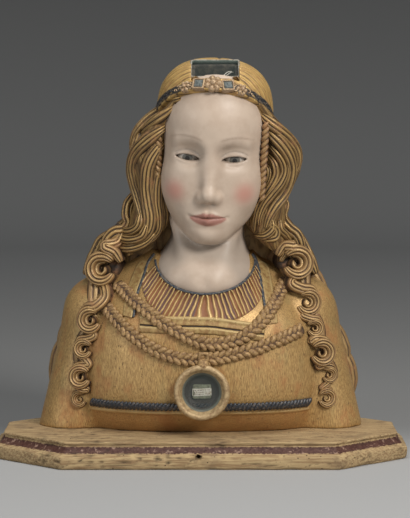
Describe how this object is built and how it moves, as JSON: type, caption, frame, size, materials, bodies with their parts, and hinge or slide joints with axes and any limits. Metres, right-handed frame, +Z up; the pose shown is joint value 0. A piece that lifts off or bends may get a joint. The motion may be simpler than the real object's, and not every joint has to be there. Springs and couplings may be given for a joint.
{
  "type": "reliquary bust",
  "caption": "Carved, gilded and painted wood bust of a woman with circlet, curled hair and chains, with a glazed medallion and a glazed crown window for relics, on a moulded octagonal plinth",
  "frame": {"origin": "on the floor under the middle of the plinth", "axes": "+Z up, the face looks along -Y, +X is the viewer's right when facing the bust"},
  "size_m": [0.442, 0.21, 0.4256],
  "materials": {
    "worn_painted_oak": "worn bare oak with remains of dark red paint",
    "gilded_oak": "aged gilding and satin flesh paint on carved oak",
    "rock_crystal": "clear, slightly clouded",
    "paper_label": "matt white paper and cloth",
    "relic_cloth": "aged beige cloth",
    "grey_stone": "polished grey stone"
  },
  "bodies": {
    "root": {"plinth": "worn_painted_oak", "bust": "gilded_oak", "medallion_crystal": "rock_crystal", "medallion_relic": "paper_label", "crown_crystal": "rock_crystal", "crown_relic": "relic_cloth", "circlet_stone_left": "grey_stone", "circlet_stone_right": "grey_stone"}
  },
  "joints": []
}
